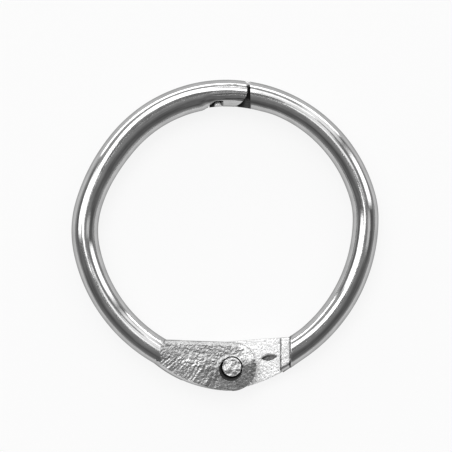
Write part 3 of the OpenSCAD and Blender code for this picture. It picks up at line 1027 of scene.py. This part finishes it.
def paper_floor():
    """White paper; camera, mirror and glass rays see it mostly as plain white."""
    size = 1.5
    corners = [(-size, -size, 0), (size, -size, 0), (size, size, 0), (-size, size, 0)]
    floor = make("floor", corners, [(0, 1, 2, 3)])
    mat = bpy.data.materials.new("paper")
    mat.use_nodes = True
    tree = mat.node_tree
    tree.nodes.clear()
    out = tree.nodes.new("ShaderNodeOutputMaterial")
    paper = tree.nodes.new("ShaderNodeBsdfDiffuse")
    paper.inputs["Color"].default_value = (0.85, 0.85, 0.85, 1)
    white = tree.nodes.new("ShaderNodeEmission")
    white.inputs["Color"].default_value = (0.985, 0.985, 0.985, 1)
    white.inputs["Strength"].default_value = 1.0
    path = tree.nodes.new("ShaderNodeLightPath")
    seen = math(tree, "MAXIMUM", path.outputs["Is Camera Ray"], path.outputs["Is Glossy Ray"])
    seen = math(tree, "MAXIMUM", seen, path.outputs["Is Transmission Ray"])
    share = math(tree, "MULTIPLY", seen, FLOOR_WHITE)
    mix = tree.nodes.new("ShaderNodeMixShader")
    tree.links.new(share, mix.inputs[0])
    tree.links.new(paper.outputs[0], mix.inputs[1])
    tree.links.new(white.outputs[0], mix.inputs[2])
    tree.links.new(mix.outputs[0], out.inputs["Surface"])
    floor.data.materials.append(mat)
    return floor


def patch(tree, azimuth, zenith, az0, az1, th0, th1, lean, edge, strength):
    """Radiance of a panel between two azimuths and two angles from the zenith.

    lean is how many degrees it rises or falls for each degree of azimuth.
    """
    mid, half = (az0 + az1) / 2, (az1 - az0) / 2
    off = tree.nodes.new("ShaderNodeMath")
    off.operation = "WRAP"
    tree.links.new(math(tree, "SUBTRACT", azimuth, radians(mid)), off.inputs[0])
    off.inputs[1].default_value = pi
    off.inputs[2].default_value = -pi
    sideways = math(tree, "ABSOLUTE", off.outputs[0])
    rise = math(tree, "SUBTRACT", zenith, math(tree, "MULTIPLY", off.outputs[0], lean))
    rise = math(tree, "ABSOLUTE", math(tree, "SUBTRACT", rise, radians((th0 + th1) / 2)))
    tall = radians((th1 - th0) / 2)
    wide = radians(half)
    soft = radians(edge)
    value = ramp(tree, sideways, wide - soft, wide + soft, 1.0, 0.0)
    value = math(tree, "MULTIPLY", value, ramp(tree, rise, tall - soft, tall + soft, 1.0, 0.0))
    return math(tree, "MULTIPLY", value, strength)


# Panels of the studio: azimuths, angles from the zenith, lean, soft edge (degrees) and radiance
PANELS = (
    (41, 148, 73, 104, 0.0, 2.0, 4.4),
    (78, 124, 22, 54, 0.0, 2.0, 4.4),
    (120, 158, 19, 45, -0.42, 2.0, 4.4),
    (154, 196, 5, 21, -0.5, 2.5, 4.2),
    (52, 80, 38, 51, 0.10, 3.0, 3.0),
    (38, 60, 42, 70, 0.3, 6.0, 2.0),
    (153, 182, 27, 54, -0.2, 6.0, 4.0),
    (10, 33, 37, 69, 0.3, 6.0, 4.0),
    (-12, 6, 17, 42, -0.2, 6.0, 1.2),
    (20, 64, 3, 18, 0.0, 3.0, 2.4),
    (41, 152, 44, 80, 0.0, 3.0, 0.7),
    (40, 78, 20, 38, 0.35, 4.0, 2.0),
)


def studio():
    """A dim room, brightest overhead, at the horizon and behind the clasp, with the panels in it."""
    world = bpy.data.worlds.new("studio")
    bpy.context.scene.world = world
    world.use_nodes = True
    tree = world.node_tree
    tree.nodes.clear()
    out = tree.nodes.new("ShaderNodeOutputWorld")
    sky = tree.nodes.new("ShaderNodeBackground")
    tree.links.new(sky.outputs[0], out.inputs["Surface"])
    direction = tree.nodes.new("ShaderNodeTexCoord").outputs["Generated"]
    split = tree.nodes.new("ShaderNodeSeparateXYZ")
    tree.links.new(direction, split.inputs[0])
    x, y, z = split.outputs
    azimuth = math(tree, "ARCTAN2", y, x)
    zenith = math(tree, "ARCCOSINE", z)
    base = ramp(tree, y, -0.7, 0.7, 0.0, 0.11)
    base = math(tree, "ADD", base, ramp(tree, zenith, 0.1, 1.0, 0.36, 0.19))
    base = math(tree, "ADD", base, ramp(tree, zenith, 1.15, 1.6, 0.0, 0.4))
    haze = node(tree, "ShaderNodeTexNoise", Scale=2.2, Detail=2.0)
    tree.links.new(direction, haze.inputs["Vector"])
    total = math(tree, "MULTIPLY", base, ramp(tree, haze.outputs["Fac"], 0.35, 0.65, 0.75, 1.3))
    for panel in PANELS:
        total = math(tree, "MAXIMUM", total, patch(tree, azimuth, zenith, *panel))
    tree.links.new(total, sky.inputs["Strength"])


def camera():
    """Straight down, as the photo looks; width is what the frame takes in at the wire's height."""
    lens, sensor = 135, 36
    aim = Vector((0.098, 0.875, WIRE_R)) * MM
    width = 44.1 * MM
    data = bpy.data.cameras.new("camera")
    data.lens = lens
    data.sensor_width = sensor
    data.clip_start = 0.005
    data.clip_end = 10
    made = bpy.data.objects.new("camera", data)
    made.location = aim + Vector((0, 0, width * lens / sensor))
    bpy.context.scene.collection.objects.link(made)
    bpy.context.scene.camera = made


paper_floor()
studio()
camera()
bpy.context.scene.view_settings.view_transform = "Standard"
